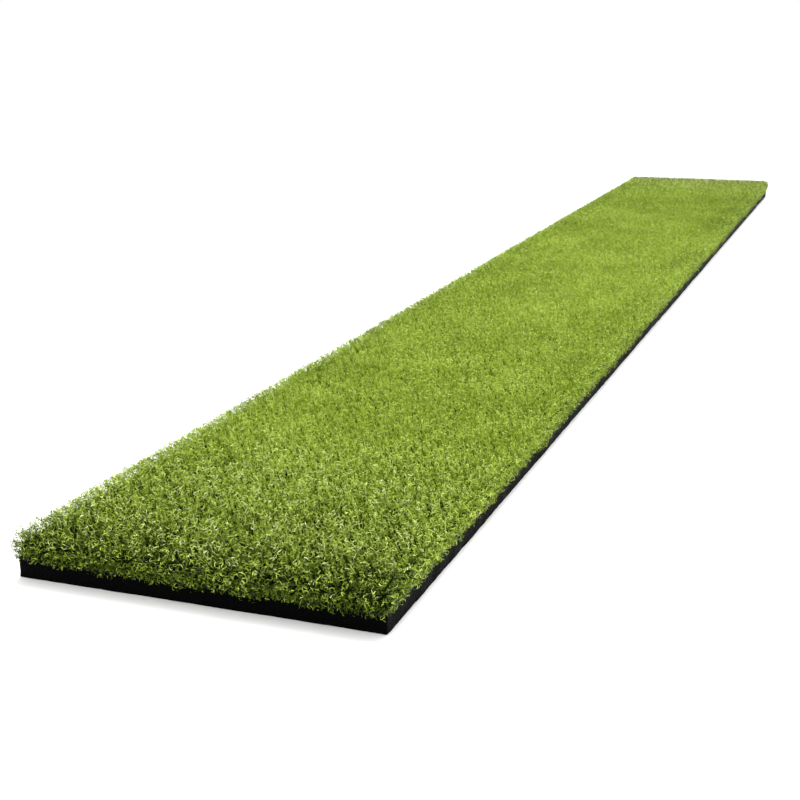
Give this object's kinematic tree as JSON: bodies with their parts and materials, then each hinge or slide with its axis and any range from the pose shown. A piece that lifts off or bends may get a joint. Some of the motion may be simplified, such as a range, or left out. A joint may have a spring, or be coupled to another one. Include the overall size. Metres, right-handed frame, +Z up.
{
  "type": "golf hitting mat",
  "caption": "Long narrow foam-backed golf hitting strip with a dense, curly green cut pile tufted in rows.",
  "frame": {"origin": "centre of the foam's underside, on the surface the mat lies on", "axes": "+Y along the strip's length, +X across its width, +Z up out of the pile"},
  "size_m": [0.3078, 2.4414, 0.0364],
  "materials": {
    "foam": "matte, saw-cut closed cells",
    "adhesive": "thin satin film",
    "coat": "matte cast coat",
    "cloth": "plain woven tape yarn",
    "yarn": "texturised, slightly glossy filament"
  },
  "bodies": {
    "root": {"foam_base": "foam", "laminating_adhesive": "adhesive", "locking_coat": "coat", "primary_cloth": "cloth", "tuft_row_01": "yarn", "tuft_row_02": "yarn", "tuft_row_03": "yarn", "tuft_row_04": "yarn", "tuft_row_05": "yarn", "tuft_row_06": "yarn", "tuft_row_07": "yarn", "tuft_row_08": "yarn", "tuft_row_09": "yarn", "tuft_row_10": "yarn", "tuft_row_11": "yarn", "tuft_row_12": "yarn", "tuft_row_13": "yarn", "tuft_row_14": "yarn", "tuft_row_15": "yarn", "tuft_row_16": "yarn", "tuft_row_17": "yarn", "tuft_row_18": "yarn", "tuft_row_19": "yarn", "tuft_row_20": "yarn", "tuft_row_21": "yarn", "tuft_row_22": "yarn", "tuft_row_23": "yarn", "tuft_row_24": "yarn", "tuft_row_25": "yarn", "tuft_row_26": "yarn", "tuft_row_27": "yarn", "tuft_row_28": "yarn", "tuft_row_29": "yarn", "tuft_row_30": "yarn", "tuft_row_31": "yarn", "tuft_row_32": "yarn", "tuft_row_33": "yarn", "tuft_row_34": "yarn", "tuft_row_35": "yarn", "tuft_row_36": "yarn", "tuft_row_37": "yarn", "tuft_row_38": "yarn", "tuft_row_39": "yarn", "tuft_row_40": "yarn", "tuft_row_41": "yarn", "tuft_row_42": "yarn", "tuft_row_43": "yarn", "tuft_row_44": "yarn", "tuft_row_45": "yarn", "tuft_row_46": "yarn", "tuft_row_47": "yarn", "tuft_row_48": "yarn"}
  },
  "joints": []
}
